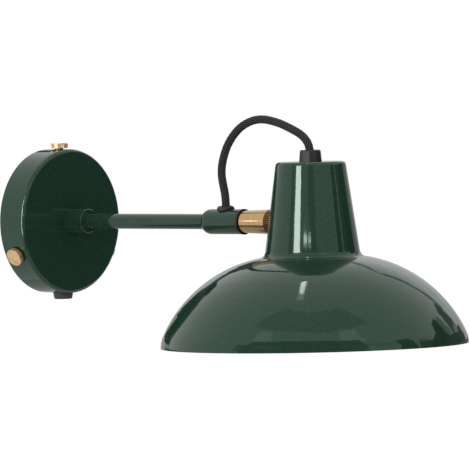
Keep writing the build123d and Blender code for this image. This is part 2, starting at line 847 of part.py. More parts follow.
# ---------------------------------------------------------------- pieces written out
pieces = {
    "wall_cup": wall_cup,
    "wall_bracket": wall_bracket,
    "thumb_screws": thumb_screws,
    "cable_entry_plug": cable_entry_plug,
    "terminal_block": terminal_block,
    "terminal_screws": terminal_screws,
    "core_leads": core_leads,
    "earth_lead": earth_lead,
    "earth_terminal_ring": earth_terminal_ring,
    "earth_screw": earth_screw,
    "hub_nipple": hub_nipple,
    "hub_lock_washer": hub_lock_washer,
    "hub_nut": hub_nut,
    "hub_collar": hub_collar,
    "arm_tube": arm_tube,
    "end_connector": end_connector,
    "arm_flex": arm_flex,
    "cord_grommet": cord_grommet,
    "friction_washer": friction_washer,
    "pivot_stud": pivot_stud,
    "wave_washer": wave_washer,
    "thrust_washer": thrust_washer,
    "lock_nut": lock_nut,
    "flex_loop": flex_loop,
    "swivel_barrel": swivel_barrel,
    "knurled_ring": knurled_ring,
    "inner_saddle": inner_saddle,
    "shade": shade,
    "cord_grip": cord_grip,
    "cord_clamp": cord_clamp,
    "head_nipple": head_nipple,
    "holder_lock_washer": holder_lock_washer,
    "holder_cap": holder_cap,
    "holder_skirt": holder_skirt,
    "holder_insert": holder_insert,
    "lamp_thread_shell": lamp_thread_shell,
    "centre_contact": centre_contact,
    "holder_terminals": holder_terminals,
    "head_flex": head_flex,
    "head_leads": head_leads,
}
for name, piece in pieces.items():
    piece.part.label = name
    export_step(piece.part, f"parts/{name}.step")
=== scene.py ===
"""Wall lamp with a swivelling spun shade: finishes, flex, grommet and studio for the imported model.

Metres throughout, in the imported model's frame: the wall is y = 0, the arm runs along -Y, Z is up.
"""

import math

import bmesh
import bpy
import numpy as np
from mathutils import Matrix, Vector


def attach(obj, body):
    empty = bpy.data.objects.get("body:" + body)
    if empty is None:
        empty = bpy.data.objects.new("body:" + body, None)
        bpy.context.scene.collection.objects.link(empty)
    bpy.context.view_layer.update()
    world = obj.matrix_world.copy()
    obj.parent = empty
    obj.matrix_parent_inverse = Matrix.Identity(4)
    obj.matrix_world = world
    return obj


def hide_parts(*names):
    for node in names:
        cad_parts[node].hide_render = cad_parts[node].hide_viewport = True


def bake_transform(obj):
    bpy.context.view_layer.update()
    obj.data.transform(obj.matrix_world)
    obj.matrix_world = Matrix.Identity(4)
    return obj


bl_info = {
    "name": "Swivel wall lamp",
    "version": (1, 0, 0),
    "blender": (4, 5, 0),
    "location": "3D View > Sidebar > Wall lamp",
    "description": "Finishes, braided flex and studio for a wall lamp with a spun shade",
    "category": "Object",
}

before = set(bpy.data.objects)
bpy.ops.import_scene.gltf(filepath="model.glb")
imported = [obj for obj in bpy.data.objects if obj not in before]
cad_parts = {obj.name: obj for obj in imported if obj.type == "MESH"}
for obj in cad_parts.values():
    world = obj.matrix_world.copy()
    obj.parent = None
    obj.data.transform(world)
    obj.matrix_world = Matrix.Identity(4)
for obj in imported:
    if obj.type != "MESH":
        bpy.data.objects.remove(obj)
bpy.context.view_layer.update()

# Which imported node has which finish.
ENAMEL_NODES = ("wall_cup", "hub_collar", "arm_tube", "end_connector")
SCREW_NODES = (
    "thumb_screws",
    "terminal_screws",
    "holder_terminals",
    "centre_contact",
    "earth_screw",
)
STEEL_NODES = (
    "wall_bracket",
    "hub_lock_washer",
    "hub_nut",
    "hub_nipple",
    "pivot_stud",
    "wave_washer",
    "thrust_washer",
    "lock_nut",
    "head_nipple",
    "holder_lock_washer",
)
NICKEL_NODES = ("earth_terminal_ring", "lamp_thread_shell")
MOULDED_NODES = ("inner_saddle", "friction_washer", "cord_grip", "holder_cap", "holder_skirt")
RUBBER_NODES = ("cable_entry_plug", "cord_clamp")
HIDDEN_FLEX_NODES = ("arm_flex", "head_flex")
BROWN_CORE_NODES = ("core_leads", "head_leads")
EARTH_CORE_NODES = ("earth_lead",)

# The flex's route above the swivel, as in the part's source: from the grommet to the cord grip.
FLEX_EXIT = (0.0, -0.19753, 0.0100)
FLEX_ROUTE = (
    FLEX_EXIT,
    (0.0, -0.19753, 0.0205),
    (0.0, -0.19520, 0.0295),
    (0.0, -0.19310, 0.0405),
    (0.0, -0.19590, 0.0530),
    (0.0, -0.20260, 0.0660),
    (0.0, -0.21590, 0.0785),
    (0.0, -0.23470, 0.0845),
    (0.0, -0.25450, 0.0815),
    (0.0, -0.27210, 0.0750),
    (0.0, -0.28330, 0.0695),
    (0.0, -0.29000, 0.0610),
    (0.0, -0.29000, 0.0505),
)
SHADE_AXIS_Y = -0.29
ROUTE_SMOOTHNESS = 32
STRAND_HEIGHT = "strand_height"

WHITE = (1.0, 1.0, 1.0, 1.0)
# Leaves a vector's level part.
LEVEL_PART = (1.0, 1.0, 0.0)


# ---------------------------------------------------------------- shader graphs
class Value:
    """A number that varies over a surface; arithmetic on it adds Math nodes."""

    def __init__(self, graph, socket):
        self.graph = graph
        self.socket = socket

    def math(self, operation, first, second):
        return self.graph.node("ShaderNodeMath", {"operation": operation}, {0: first, 1: second})

    def __add__(self, other):
        return self.math("ADD", self, other)

    def __radd__(self, other):
        return self.math("ADD", other, self)

    def __sub__(self, other):
        return self.math("SUBTRACT", self, other)

    def __rsub__(self, other):
        return self.math("SUBTRACT", other, self)

    def __mul__(self, other):
        return self.math("MULTIPLY", self, other)

    def __rmul__(self, other):
        return self.math("MULTIPLY", other, self)

    def __gt__(self, other):
        return self.math("GREATER_THAN", self, other)

    def ramp(self, start, end):
        """0 up to start, 1 from end on, and smooth between them."""
        settings = {"interpolation_type": "SMOOTHSTEP"}
        return self.graph.node("ShaderNodeMapRange", settings, {0: self, 1: start, 2: end})


class Graph:
    """The nodes of one material or of the world."""

    def __init__(self, tree):
        self.tree = tree
        tree.nodes.clear()

    def node(self, kind, settings=None, inputs=None, output=0):
        """Adds a node: its settings first, then the values or links of its sockets."""
        made = self.tree.nodes.new(kind)
        for name, value in (settings or {}).items():
            setattr(made, name, value)
        for key, value in (inputs or {}).items():
            if isinstance(value, Value):
                self.tree.links.new(value.socket, made.inputs[key])
            else:
                made.inputs[key].default_value = value
        return Value(self, made.outputs[output])

    def place(self):
        """Where a point of the surface is, in metres in the object's own frame."""
        return self.node("ShaderNodeTexCoord", output="Object")

    def vector(self, operation, first, second=None, output=0):
        """Vector Math; where the result is a number, its output is called Value."""
        inputs = {0: first} if second is None else {0: first, 1: second}
        return self.node("ShaderNodeVectorMath", {"operation": operation}, inputs, output)

    def scaled(self, vector, scale):
        return self.vector("MULTIPLY", vector, scale)

    def noise(self, vector, scale, detail=2.0, roughness=0.5):
        inputs = {"Vector": vector, "Scale": scale, "Detail": detail, "Roughness": roughness}
        return self.node("ShaderNodeTexNoise", inputs=inputs, output="Fac")

    def mix(self, share, low, high):
        """A colour between low and high."""
        return self.node("ShaderNodeMix", {"data_type": "RGBA"}, {0: share, 6: low, 7: high}, 2)

    def mix_shaders(self, share, low, high):
        return self.node("ShaderNodeMixShader", inputs={0: share, 1: low, 2: high})

    def bump(self, height, depth, strength=1.0, under=None):
        inputs = {"Strength": strength, "Distance": depth, "Height": height}
        if under is not None:
            inputs["Normal"] = under
        return self.node("ShaderNodeBump", inputs=inputs)

    def end(self, shader, kind="ShaderNodeOutputMaterial"):
        """Ends the nodes with the output node, which has no output of its own."""
        made = self.tree.nodes.new(kind)
        self.tree.links.new(shader.socket, made.inputs["Surface"])


def colour(rgb, share=1.0):
    """A share of a colour, with full alpha."""
    return (*(share * c for c in rgb), 1.0)


def new_material(name):
    material = bpy.data.materials.new(name)
    material.use_nodes = True
    return material, Graph(material.node_tree)


def finished(graph, **sockets):
    """Ends a material with one Principled shader; a name's underscores are its socket's spaces."""
    inputs = {name.replace("_", " "): value for name, value in sockets.items()}
    graph.end(graph.node("ShaderNodeBsdfPrincipled", inputs=inputs))


# ---------------------------------------------------------------- enamel
# Sizes count the noise's cells to a metre, and depths are in metres. Stops are where a ramp
# starts and ends.
PEEL_SIZE = 1300.0
PEEL_DEPTH = 0.00002
WAVE_SIZE = 70.0
WAVE_DEPTH = 0.0005
CLOUD_SIZE = 420.0
CLOUD_STOPS = (0.35, 0.8)
THIN_ENAMEL = 1.35
GREEN_GLAZE = (0.73, 1.0, 0.87, 1.0)
GLAZE_IOR = 1.5
GLOSS = 0.035
GLOSS_SPREAD = 0.04
# The shade's white inside ends where its face turns out, and just above its hem.
LEAN_UP = (0.0, 0.0, 0.6)
TURN_STOPS = (0.0, 0.1)
HEM_STOPS = (-0.0965, -0.0955)
INSIDE_DULLNESS = 0.1


def enamel_layers(graph, colours, sizes):
    """Place, colour, roughness and normal of green enamel: orange peel over slow waves."""
    place = graph.place()
    peel = graph.noise(place, PEEL_SIZE, 1.0)
    waves = graph.noise(place, WAVE_SIZE, 1.0)
    slow = graph.bump(waves, WAVE_DEPTH, sizes.enamel_wave)
    normal = graph.bump(peel, PEEL_DEPTH, sizes.enamel_peel, slow)
    cloud = graph.noise(place, CLOUD_SIZE).ramp(*CLOUD_STOPS)
    green = graph.mix(cloud, colour(colours.enamel), colour(colours.enamel, THIN_ENAMEL))
    return place, green, GLOSS + GLOSS_SPREAD * waves, normal


def glazed(graph, base, roughness, normal):
    finished(
        graph,
        Base_Color=base,
        Roughness=roughness,
        IOR=GLAZE_IOR,
        Specular_Tint=GREEN_GLAZE,
        Normal=normal,
    )


def green_enamel(colours, sizes):
    material, graph = new_material("green_enamel")
    _, green, roughness, normal = enamel_layers(graph, colours, sizes)
    glazed(graph, green, roughness, normal)
    return material


def shade_enamel(colours, sizes):
    """Green outside and over the rolled hem, white inside."""
    material, graph = new_material("shade_enamel")
    place, green, roughness, normal = enamel_layers(graph, colours, sizes)
    facing = graph.node("ShaderNodeTexCoord", output="Normal")
    from_axis = graph.vector("SUBTRACT", place, (0.0, SHADE_AXIS_Y, 0.0))
    outward = graph.vector("NORMALIZE", graph.scaled(from_axis, LEVEL_PART))
    turned_out = graph.vector("DOT_PRODUCT", facing, graph.vector("ADD", outward, LEAN_UP), "Value")
    height = graph.node("ShaderNodeSeparateXYZ", inputs={0: place}, output="Z")
    inside = (0.0 - turned_out).ramp(*TURN_STOPS) * height.ramp(*HEM_STOPS)
    base = graph.mix(inside, green, colour(colours.inside))
    glazed(graph, base, roughness + INSIDE_DULLNESS * inside, normal)
    return material


# ---------------------------------------------------------------- other finishes
# Turned brass: how fine its marks are along each axis, roughness and depth of the marks. Its
# tarnish is a share as fine as the marks.
BARREL_MARKS = ((60.0, 2600.0, 60.0), 0.12, 0.000006)
RING_MARKS = ((900.0, 900.0, 900.0), 0.30, 0.00004)
SCREW_MARKS = ((900.0, 900.0, 900.0), 0.38, 0.00001)
MARK_ROUGHNESS = 0.08
TARNISH_FINENESS = 0.2
TARNISH = (0.84, 0.76, 0.62)
TARNISH_STOPS = (0.35, 0.7)
# Grime and painted shade in corners and recesses: tint of the metal, ramp of the occlusion, and the
# occlusion's reach and samples.
GRIME_AND_SHADE = (0.22, 0.16, 0.10)
GRIME_AND_SHADE_STOPS = (0.45, 0.95)
CORNER_REACH = 0.0012
CORNER_SAMPLES = 8
# Plated steel: colour, lowest roughness and size of the spangle.
ZINC = ((0.62, 0.62, 0.60), 0.28, 260.0)
NICKEL = ((0.75, 0.73, 0.68), 0.12, 500.0)
SPANGLE_ROUGHNESS = 0.2
DULL_PLATE = 0.8
DULL_SIZE = 90.0
DULL_STOPS = (0.3, 0.7)
PLATE_GRAIN_SIZE = 900.0
PLATE_GRAIN_DEPTH = 0.00001
PLATE_GRAIN_STRENGTH = 0.4
# Moulded pieces: colour, roughness and depth of the grain.
BLACK_PLASTIC = ((0.012, 0.016, 0.015), 0.36, 0.00002)
WHITE_PLASTIC = ((0.5, 0.49, 0.46), 0.35, 0.00002)
BLACK_RUBBER = ((0.036, 0.037, 0.035), 0.6, 0.00006)
GROMMET_RUBBER = ((0.013, 0.015, 0.014), 0.42, 0.00012)
MOULD_GRAIN_SIZE = 1500.0
MOULD_GRAIN_STRENGTH = 0.6
MOULD_GLOSS_SPREAD = 0.16
MOULD_SHINE = 0.3
FLOW_STRETCH = (1.0, 1.0, 0.3)
FLOW_SIZE = 120.0
FLOW_STOPS = (0.4, 0.75)
PALE_FLOW = 1.5
# Porcelain: its iron specks and the unevenness of its glaze.
SPECK_SIZE = 700.0
SPECK_STOPS = (0.76, 0.8)
SPECK_COLOUR = (0.35, 0.28, 0.2)
GLAZE_SIZE = 200.0
GLAZE_ROUGHNESS = 0.12
GLAZE_SPREAD = 0.1
GLAZE_DEPTH = 0.0001
GLAZE_STRENGTH = 0.3
# Insulation of the cores.
BROWN_CORE = (0.16, 0.06, 0.03)
EARTH_GREEN = (0.05, 0.25, 0.04)
EARTH_YELLOW = (0.75, 0.6, 0.04)
RUB_SIZE = 800.0
RUB_STOPS = (0.3, 0.8)
RUBBED = 0.8
STRIPE_SIZE = 95.0
STRIPE_STOPS = (0.45, 0.55)
SHEATH_ROUGHNESS = 0.35
SHEATH_SPREAD = 0.15
# The braid's threads.
FIBRE_SIZE = 2600.0
FIBRE_DEPTH = 0.00005
FIBRE_STRENGTH = 0.7
THREAD_TOP_STOPS = (0.35, 1.0)
FLECK_LOWEST = 0.4
FLECK_SPREAD = 1.2
FLECK_PALENESS = 9.0
BRAID_ROUGHNESS = 0.75
BRAID_SPREAD = 0.2
BRAID_SHINE = 0.25
BRAID_SHEEN = 0.04
BRAID_SHEEN_ROUGHNESS = 0.5


def brass(name, base, grain, roughness, cut):
    """Turned brass with marks of a grain and a cut's depth, and grime with painted shade in its
    corners.
    """
    material, graph = new_material(name)
    place = graph.place()
    marks = graph.noise(graph.scaled(place, grain), 1.0, 3.0, 0.6)
    tarnish = graph.noise(graph.scaled(place, [TARNISH_FINENESS * g for g in grain]), 1.0, 2.0)
    warm = colour([c * k for c, k in zip(base, TARNISH)])
    grime_and_shade = colour([c * k for c, k in zip(base, GRIME_AND_SHADE)])
    sampling, reach = {"samples": CORNER_SAMPLES}, {"Distance": CORNER_REACH}
    # The occlusion darkens the colour in corners and recesses: grime and painted shade.
    open_sky = graph.node("ShaderNodeAmbientOcclusion", sampling, reach, "AO")
    metal = graph.mix(tarnish.ramp(*TARNISH_STOPS), colour(base), warm)
    finished(
        graph,
        Base_Color=graph.mix(open_sky.ramp(*GRIME_AND_SHADE_STOPS), grime_and_shade, metal),
        Metallic=1.0,
        Roughness=roughness + MARK_ROUGHNESS * marks,
        Normal=graph.bump(marks, cut),
    )
    return material


def plated(name, base, low_roughness, spangle):
    """Bare plated steel with a faint spangle."""
    material, graph = new_material(name)
    place = graph.place()
    inputs = {"Vector": place, "Scale": spangle}
    cells = graph.node("ShaderNodeTexVoronoi", inputs=inputs, output="Distance")
    cloud = graph.noise(place, DULL_SIZE, 3.0)
    grain = graph.noise(place, PLATE_GRAIN_SIZE)
    finished(
        graph,
        Base_Color=graph.mix(cloud.ramp(*DULL_STOPS), colour(base), colour(base, DULL_PLATE)),
        Metallic=1.0,
        Roughness=low_roughness + SPANGLE_ROUGHNESS * cells,
        Normal=graph.bump(grain, PLATE_GRAIN_DEPTH, PLATE_GRAIN_STRENGTH),
    )
    return material


def moulded(name, base, roughness, grain_depth):
    """Moulded plastic or rubber with a fine spark-eroded grain."""
    material, graph = new_material(name)
    place = graph.place()
    grain = graph.noise(place, MOULD_GRAIN_SIZE)
    flow = graph.noise(graph.scaled(place, FLOW_STRETCH), FLOW_SIZE)
    finished(
        graph,
        Base_Color=graph.mix(flow.ramp(*FLOW_STOPS), colour(base), colour(base, PALE_FLOW)),
        Roughness=roughness - MOULD_GLOSS_SPREAD / 2.0 + MOULD_GLOSS_SPREAD * grain,
        Specular_IOR_Level=MOULD_SHINE,
        Normal=graph.bump(grain, grain_depth, MOULD_GRAIN_STRENGTH),
    )
    return material


def porcelain(colours):
    """Glazed porcelain with a few iron specks."""
    material, graph = new_material("porcelain")
    place = graph.place()
    specks = graph.noise(place, SPECK_SIZE, 1.0).ramp(*SPECK_STOPS)
    glaze = graph.noise(place, GLAZE_SIZE)
    finished(
        graph,
        Base_Color=graph.mix(specks, colour(colours.porcelain), colour(SPECK_COLOUR)),
        Roughness=GLAZE_ROUGHNESS + GLAZE_SPREAD * glaze,
        Normal=graph.bump(glaze, GLAZE_DEPTH, GLAZE_STRENGTH),
    )
    return material


def sheath(name, base, stripe=None):
    """An insulated core, a little rubbed; a stripe winds along the earth core."""
    material, graph = new_material(name)
    place = graph.place()
    rub = graph.noise(place, RUB_SIZE)
    shown = graph.mix(rub.ramp(*RUB_STOPS), colour(base), colour(base, RUBBED))
    if stripe is not None:
        settings = {"wave_type": "BANDS", "bands_direction": "DIAGONAL"}
        inputs = {"Vector": place, "Scale": STRIPE_SIZE}
        winding = graph.node("ShaderNodeTexWave", settings, inputs, "Fac")
        shown = graph.mix(winding.ramp(*STRIPE_STOPS), shown, colour(stripe))
    finished(graph, Base_Color=shown, Roughness=SHEATH_ROUGHNESS + SHEATH_SPREAD * rub)
    return material


def braid(colours):
    """Black textile over the cable: matt threads with a grey fleck and a soft sheen."""
    material, graph = new_material("black_braid")
    place = graph.place()
    fibres = graph.noise(place, FIBRE_SIZE, 3.0, 0.7)
    crown = graph.node("ShaderNodeAttribute", {"attribute_name": STRAND_HEIGHT}, output="Fac")
    # Paler flecks on the strands' crowns.
    pale_crowns = crown.ramp(*THREAD_TOP_STOPS) * (FLECK_LOWEST + FLECK_SPREAD * fibres)
    finished(
        graph,
        Base_Color=graph.mix(pale_crowns, colour(colours.braid), colour(colours.braid, FLECK_PALENESS)),
        Roughness=BRAID_ROUGHNESS + BRAID_SPREAD * fibres,
        Normal=graph.bump(fibres, FIBRE_DEPTH, FIBRE_STRENGTH),
        Specular_IOR_Level=BRAID_SHINE,
        Sheen_Weight=BRAID_SHEEN,
        Sheen_Roughness=BRAID_SHEEN_ROUGHNESS,
    )
    return material


def dress(nodes, material):
    """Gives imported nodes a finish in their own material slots."""
    for name in nodes:
        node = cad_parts[name]
        if not node.material_slots:
            node.data.materials.append(material)
        for slot in node.material_slots:
            slot.material = material


def add_object(name, data):
    made = bpy.data.objects.new(name, data)
    bpy.context.scene.collection.objects.link(made)
    return made


def mesh_of(name, made):
    """The mesh of a bmesh, which is freed."""
    mesh = bpy.data.meshes.new(name)
    made.to_mesh(mesh)
    made.free()
    return mesh


# ---------------------------------------------------------------- braided flex
LOWEST_STRAND = 0.45


def flex_line():
    """Points along the route's smooth line, read from a spline with the route's points."""
    curve = bpy.data.curves.new("flex_line", "CURVE")
    curve.dimensions = "3D"
    curve.resolution_u = ROUTE_SMOOTHNESS
    spline = curve.splines.new("NURBS")
    spline.points.add(len(FLEX_ROUTE) - 1)
    for point, place in zip(spline.points, FLEX_ROUTE):
        point.co = (*place, 1.0)
    spline.order_u = 3
    spline.use_endpoint_u = True
    holder = bpy.data.objects.new("flex_line", curve)
    line = bpy.data.meshes.new_from_object(holder)
    points = np.array([vertex.co for vertex in line.vertices])
    bpy.data.objects.remove(holder)
    bpy.data.curves.remove(curve)
    bpy.data.meshes.remove(line)
    return points


def even_points(points, count):
    """The same line with count points evenly spaced, and its length."""
    steps = np.linalg.norm(np.diff(points, axis=0), axis=1)
    along = np.concatenate([[0.0], np.cumsum(steps)])
    places = np.linspace(0.0, along[-1], count)
    even = np.stack([np.interp(places, along, points[:, axis]) for axis in range(3)], axis=1)
    return even, along[-1]


def braid_relief(turn, length, sizes):
    """Height of two sets of plaited strands, 0 to 1: turn is round the flex, length along it."""
    strands = sizes.braid_strands
    slant = length / sizes.braid_lay * strands
    right, left = turn * strands + slant, turn * strands - slant
    right_part, left_part = np.abs(np.sin(np.pi * right)), np.abs(np.sin(np.pi * left))
    right_over = (np.floor(right) + np.floor(left)) % 2 < 1
    over = np.where(right_over, right_part, left_part)
    under = np.where(right_over, left_part, right_part)
    return np.sqrt(over) * (LOWEST_STRAND + (1.0 - LOWEST_STRAND) * under)


def braided_tube(name, points, length, radius, sizes):
    """A tube along points whose skin is the relief of a plaited cover."""
    sides = sizes.braid_sides
    rings = len(points)
    ahead = np.gradient(points, axis=0)
    ahead /= np.linalg.norm(ahead, axis=1)[:, None]
    across = np.array([1.0, 0.0, 0.0])
    upward = np.cross(ahead, across)[:, None]
    turn = np.arange(sides) / sides
    angle = 2.0 * np.pi * turn[:, None]
    along = np.linspace(0.0, length, rings)
    height = braid_relief(turn, along[:, None], sizes)
    reach = radius - sizes.braid_relief * (1.0 - height)
    spokes = np.cos(angle) * across + np.sin(angle) * upward
    skin = (points[:, None] + reach[:, :, None] * spokes).reshape(-1, 3)
    faces = [
        (
            ring * sides + side,
            ring * sides + (side + 1) % sides,
            (ring + 1) * sides + (side + 1) % sides,
            (ring + 1) * sides + side,
        )
        for ring in range(rings - 1)
        for side in range(sides)
    ]
    faces.append(tuple(range(sides - 1, -1, -1)))
    faces.append(tuple((rings - 1) * sides + side for side in range(sides)))
    mesh = bpy.data.meshes.new(name)
    mesh.from_pydata(skin.tolist(), [], faces)
    mesh.update()
    mesh.attributes.new(STRAND_HEIGHT, "FLOAT", "POINT").data.foreach_set("value", height.ravel())
    made = bmesh.new()
    made.from_mesh(mesh)
    bmesh.ops.recalc_face_normals(made, faces=made.faces)
    made.to_mesh(mesh)
    made.free()
    mesh.polygons.foreach_set("use_smooth", [True] * len(mesh.polygons))
    return add_object(name, mesh)


# ---------------------------------------------------------------- cord grommet
ROLL_SIDES = 20
# Lumps of the ring: share of its thickness, number round the ring and where they start.
LUMPS = ((0.07, 3.0, 0.6), (0.04, 7.0, 0.0))


def bedded_ring(name, sizes):
    """A thick, slightly lumpy ring round the flex that lies over the curve of the connector."""
    turns = np.linspace(0.0, 2.0 * np.pi, sizes.grommet_sides, endpoint=False)
    rolls = np.linspace(0.0, 2.0 * np.pi, ROLL_SIDES, endpoint=False)
    x = sizes.grommet_ring * np.cos(turns)
    y = sizes.grommet_ring * np.sin(turns)
    height = np.sqrt(sizes.connector_radius**2 - x**2) + sizes.grommet_lift
    lumps = sum(share * np.sin(count * turns + start) for share, count, start in LUMPS)
    thick = sizes.grommet_thickness / 2.0 * (1.0 + lumps)
    out, up = thick[:, None] * np.cos(rolls), thick[:, None] * np.sin(rolls)
    skin = np.stack(
        [
            x[:, None] + out * np.cos(turns)[:, None],
            FLEX_EXIT[1] + y[:, None] + out * np.sin(turns)[:, None],
            height[:, None] + up,
        ],
        axis=2,
    )
    made = bmesh.new()
    points = [[made.verts.new(place) for place in ring] for ring in skin.tolist()]
    for this, following in zip(points, points[1:] + points[:1]):
        for side in range(ROLL_SIDES):
            beside = (side + 1) % ROLL_SIDES
            corners = (this[side], following[side], following[beside], this[beside])
            made.faces.new(corners).smooth = True
    bmesh.ops.recalc_face_normals(made, faces=made.faces)
    return add_object(name, mesh_of(name, made))


# ---------------------------------------------------------------- studio
CARD_STEPS = 16
REFLECTION_ONLY = ("camera", "diffuse", "transmission", "volume_scatter", "shadow")
SEEN_RAYS = ("Is Camera Ray", "Is Glossy Ray", "Is Transmission Ray")
SOFTBOX_COLOUR = (1.0, 0.84, 0.91)
FLOOR_SIDES = 96
FLOOR_GRAIN_SIZE = 60.0
FLOOR_GRAIN_STOPS = (0.3, 0.7)
FLOOR_PALEST = 1.02
WHITE_FLOOR_STOPS = (0.45, 1.3)
PICTURE_WIDTH = 470
SENSOR_WIDTH = 36.0
FARTHEST_SEEN = 100.0

# Cards round the middle of the lamp: name, azimuths of the lower and the upper edge, elevations of
# both, distance and brightness.
FLAGS = (
    ("flag_camera", (-57.0, -38.0), (-57.0, -38.0), (10.0, 20.0), 2.4, 0.35),
    ("flag_camera_left", (-79.0, -57.0), (-79.0, -57.0), (10.0, 20.0), 2.4, 0.80),
    ("flag_camera_right", (-38.0, 14.0), (-38.0, 14.0), (10.0, 20.0), 2.4, 0.78),
    ("flag_strip_edge", (-109.0, -99.0), (-109.0, -99.0), (4.0, 24.0), 2.4, 0.45),
    ("tent_front", (-112.0, 10.0), (-104.0, 0.0), (51.0, 73.0), 2.4, 0.66),
    ("glow_left", (-104.0, -86.0), (-100.0, -88.0), (34.0, 50.0), 2.5, 1.5),
    ("glow_right", (-26.0, -6.0), (-24.0, -8.0), (30.0, 50.0), 2.5, 1.5),
    ("flag_right", (17.0, 34.0), (16.0, 29.0), (-30.0, 24.0), 2.4, 0.10),
    ("flag_right_low", (34.0, 46.0), (34.0, 46.0), (-30.0, 12.5), 2.4, 0.14),
    ("flag_right_gap", (34.0, 46.0), (34.0, 46.0), (12.5, 19.0), 2.45, 0.55),
    ("flag_cup", (46.0, 74.0), (46.0, 74.0), (-40.0, 13.0), 2.4, 0.03),
    ("flag_cup_top", (50.0, 74.0), (66.0, 73.0), (13.0, 27.0), 2.4, 0.03),
    ("flag_back_right", (74.0, 97.0), (74.0, 97.0), (-6.0, 13.0), 2.4, 0.45),
    ("flag_back_right_gap", (74.0, 83.0), (73.0, 79.0), (13.0, 25.0), 2.4, 0.40),
    ("flag_back_right_top", (83.0, 96.0), (84.0, 92.0), (13.0, 23.5), 2.4, 0.14),
    ("backdrop", (92.0, 172.0), (92.0, 172.0), (-9.0, 8.0), 2.6, 0.60),
    ("backdrop_upper", (98.0, 150.0), (104.0, 145.0), (8.0, 18.0), 2.6, 0.80),
    ("backdrop_under", (112.0, 178.0), (112.0, 178.0), (-50.0, -18.0), 0.34, 0.48),
    ("backdrop_low", (178.0, 225.0), (178.0, 225.0), (-50.0, -40.0), 0.34, 0.60),
    ("flag_back_left", (147.0, 170.0), (147.0, 169.5), (2.0, 21.5), 2.4, 0.02),
    ("flag_back_left_top", (148.0, 169.5), (155.0, 160.0), (21.5, 28.0), 2.4, 0.02),
    ("bar_left", (140.0, 149.0), (140.0, 149.0), (18.5, 22.5), 2.3, 0.05),
    ("bar_left_end", (133.0, 137.0), (138.0, 142.0), (12.5, 21.0), 2.3, 0.05),
    ("bar_right_low", (92.0, 96.0), (95.0, 99.0), (17.0, 29.0), 2.3, 0.30),
    ("bar_right", (95.0, 99.0), (104.0, 110.0), (29.0, 39.5), 2.3, 0.30),
    ("bar_right_high", (122.0, 126.0), (105.5, 111.0), (28.0, 39.5), 2.3, 0.40),
)
# Low cards close to the shade, that its lower edge reflects and its neck doesn't, and the two
# bright patches low on the neck.
EDGE_FLAGS = (
    ("edge_left", (-98.0, -72.0), (-90.0, -72.0), (-24.0, 5.5), 0.28, 0.24),
    ("edge_middle", (-72.0, -31.0), (-72.0, -36.0), (-24.0, 7.5), 0.28, 0.20),
    ("edge_hem", (-175.0, 100.0), (-175.0, 100.0), (-42.0, -19.0), 0.28, 0.15),
    ("edge_front", (-31.0, -16.0), (-36.0, -20.0), (-24.0, 6.0), 0.28, 0.28),
    ("edge_right", (46.0, 82.0), (46.0, 80.0), (-24.0, -8.0), 0.28, 0.08),
    ("window_a", (-70.5, -62.2), (-70.5, -62.2), (11.3, 12.0), 0.50, 16.0),
    ("window_b", (-59.2, -52.2), (-59.2, -52.2), (11.3, 12.0), 0.50, 12.0),
)
# Close cards for the barrel's bright middle line and the dark one under it, counted from beside
# the arm so that their fronts are turned away from the shade.
BARREL_LINE_FLAGS = (
    ("barrel_line", (-78.5, -62.0), (-78.5, -62.0), (0.5, 12.0), 0.087, 2.6),
    ("barrel_shade", (-78.5, -62.0), (-78.5, -62.0), (-8.0, 0.5), 0.087, 0.4),
)
# A dim card below the barrel.
BARREL_FLAGS = (("barrel_under", (145.0, 220.0), (145.0, 220.0), (-60.0, -35.0), 0.086, 0.5),)
# A tall bright card for the cup's front edge, turned away from the shade.
CUP_FLAGS = (("cup_edge_glow", (-40.0, -16.0), (-40.0, -16.0), (-18.0, 36.0), 0.25, 19.0),)
# Each set of cards with the place it is counted from.
CARDS = (
    ((-0.185, 0.18, 0.0), CUP_FLAGS),
    ((0.0, -0.2, 0.0), FLAGS),
    ((0.0, SHADE_AXIS_Y, 0.0), EDGE_FLAGS),
    ((0.0145, -0.145, 0.0), BARREL_LINE_FLAGS),
    ((0.0, -0.224, 0.0), BARREL_FLAGS),
)
# Softboxes: name, azimuth and elevation of both ends, width, distance and radiance.
SOFTBOXES = (
    ("softbox_strip", (-88.5, 9.0), (-88.5, 19.0), 0.41, 1.5, 17.0),
    ("softbox_top", (142.0, 71.0), (-147.0, 84.0), 0.050, 1.5, 9.0),
    ("softbox_top_end", (-147.0, 84.0), (-100.0, 80.5), 0.085, 1.5, 1.4),
)


def direction(azimuth, elevation):
    """The way from the lamp to a place round it, at the camera's kind of azimuth and elevation."""
    level = math.cos(elevation)
    return Vector((math.sin(azimuth) * level, -math.cos(azimuth) * level, math.sin(elevation)))


def round_the_lamp(azimuth, elevation, distance, centre):
    """The place on an upright cylinder that the centre sees at these angles, in degrees."""
    place = direction(math.radians(azimuth), 0.0) * distance
    place.z = distance * math.tan(math.radians(elevation))
    return centre + place


def placed(place, x_axis, y_axis, z_axis):
    """The matrix of an object that stands at a place with these axes."""
    turned = Matrix((x_axis, y_axis, z_axis)).transposed()
    return Matrix.Translation(place) @ turned.to_4x4()


def end_clear_behind(graph, front):
    """Ends a material that shows front on a face's front and nothing on its back."""
    clear = graph.node("ShaderNodeBsdfTransparent")
    behind = graph.node("ShaderNodeNewGeometry", output="Backfacing")
    graph.end(graph.mix_shaders(behind, front, clear))


def glow(name, level):
    """Even brightness on a card's front."""
    material, graph = new_material(name)
    inputs = {"Color": colour([min(1.0, level)] * 3), "Strength": max(1.0, level)}
    end_clear_behind(graph, graph.node("ShaderNodeEmission", inputs=inputs))
    return material


def card_row(made, edges, elevation, distance, centre):
    """One edge of a card: points at even steps between two azimuths."""
    left, right = edges
    azimuths = [left + (right - left) * step / CARD_STEPS for step in range(CARD_STEPS + 1)]
    return [made.verts.new(round_the_lamp(a, elevation, distance, centre)) for a in azimuths]


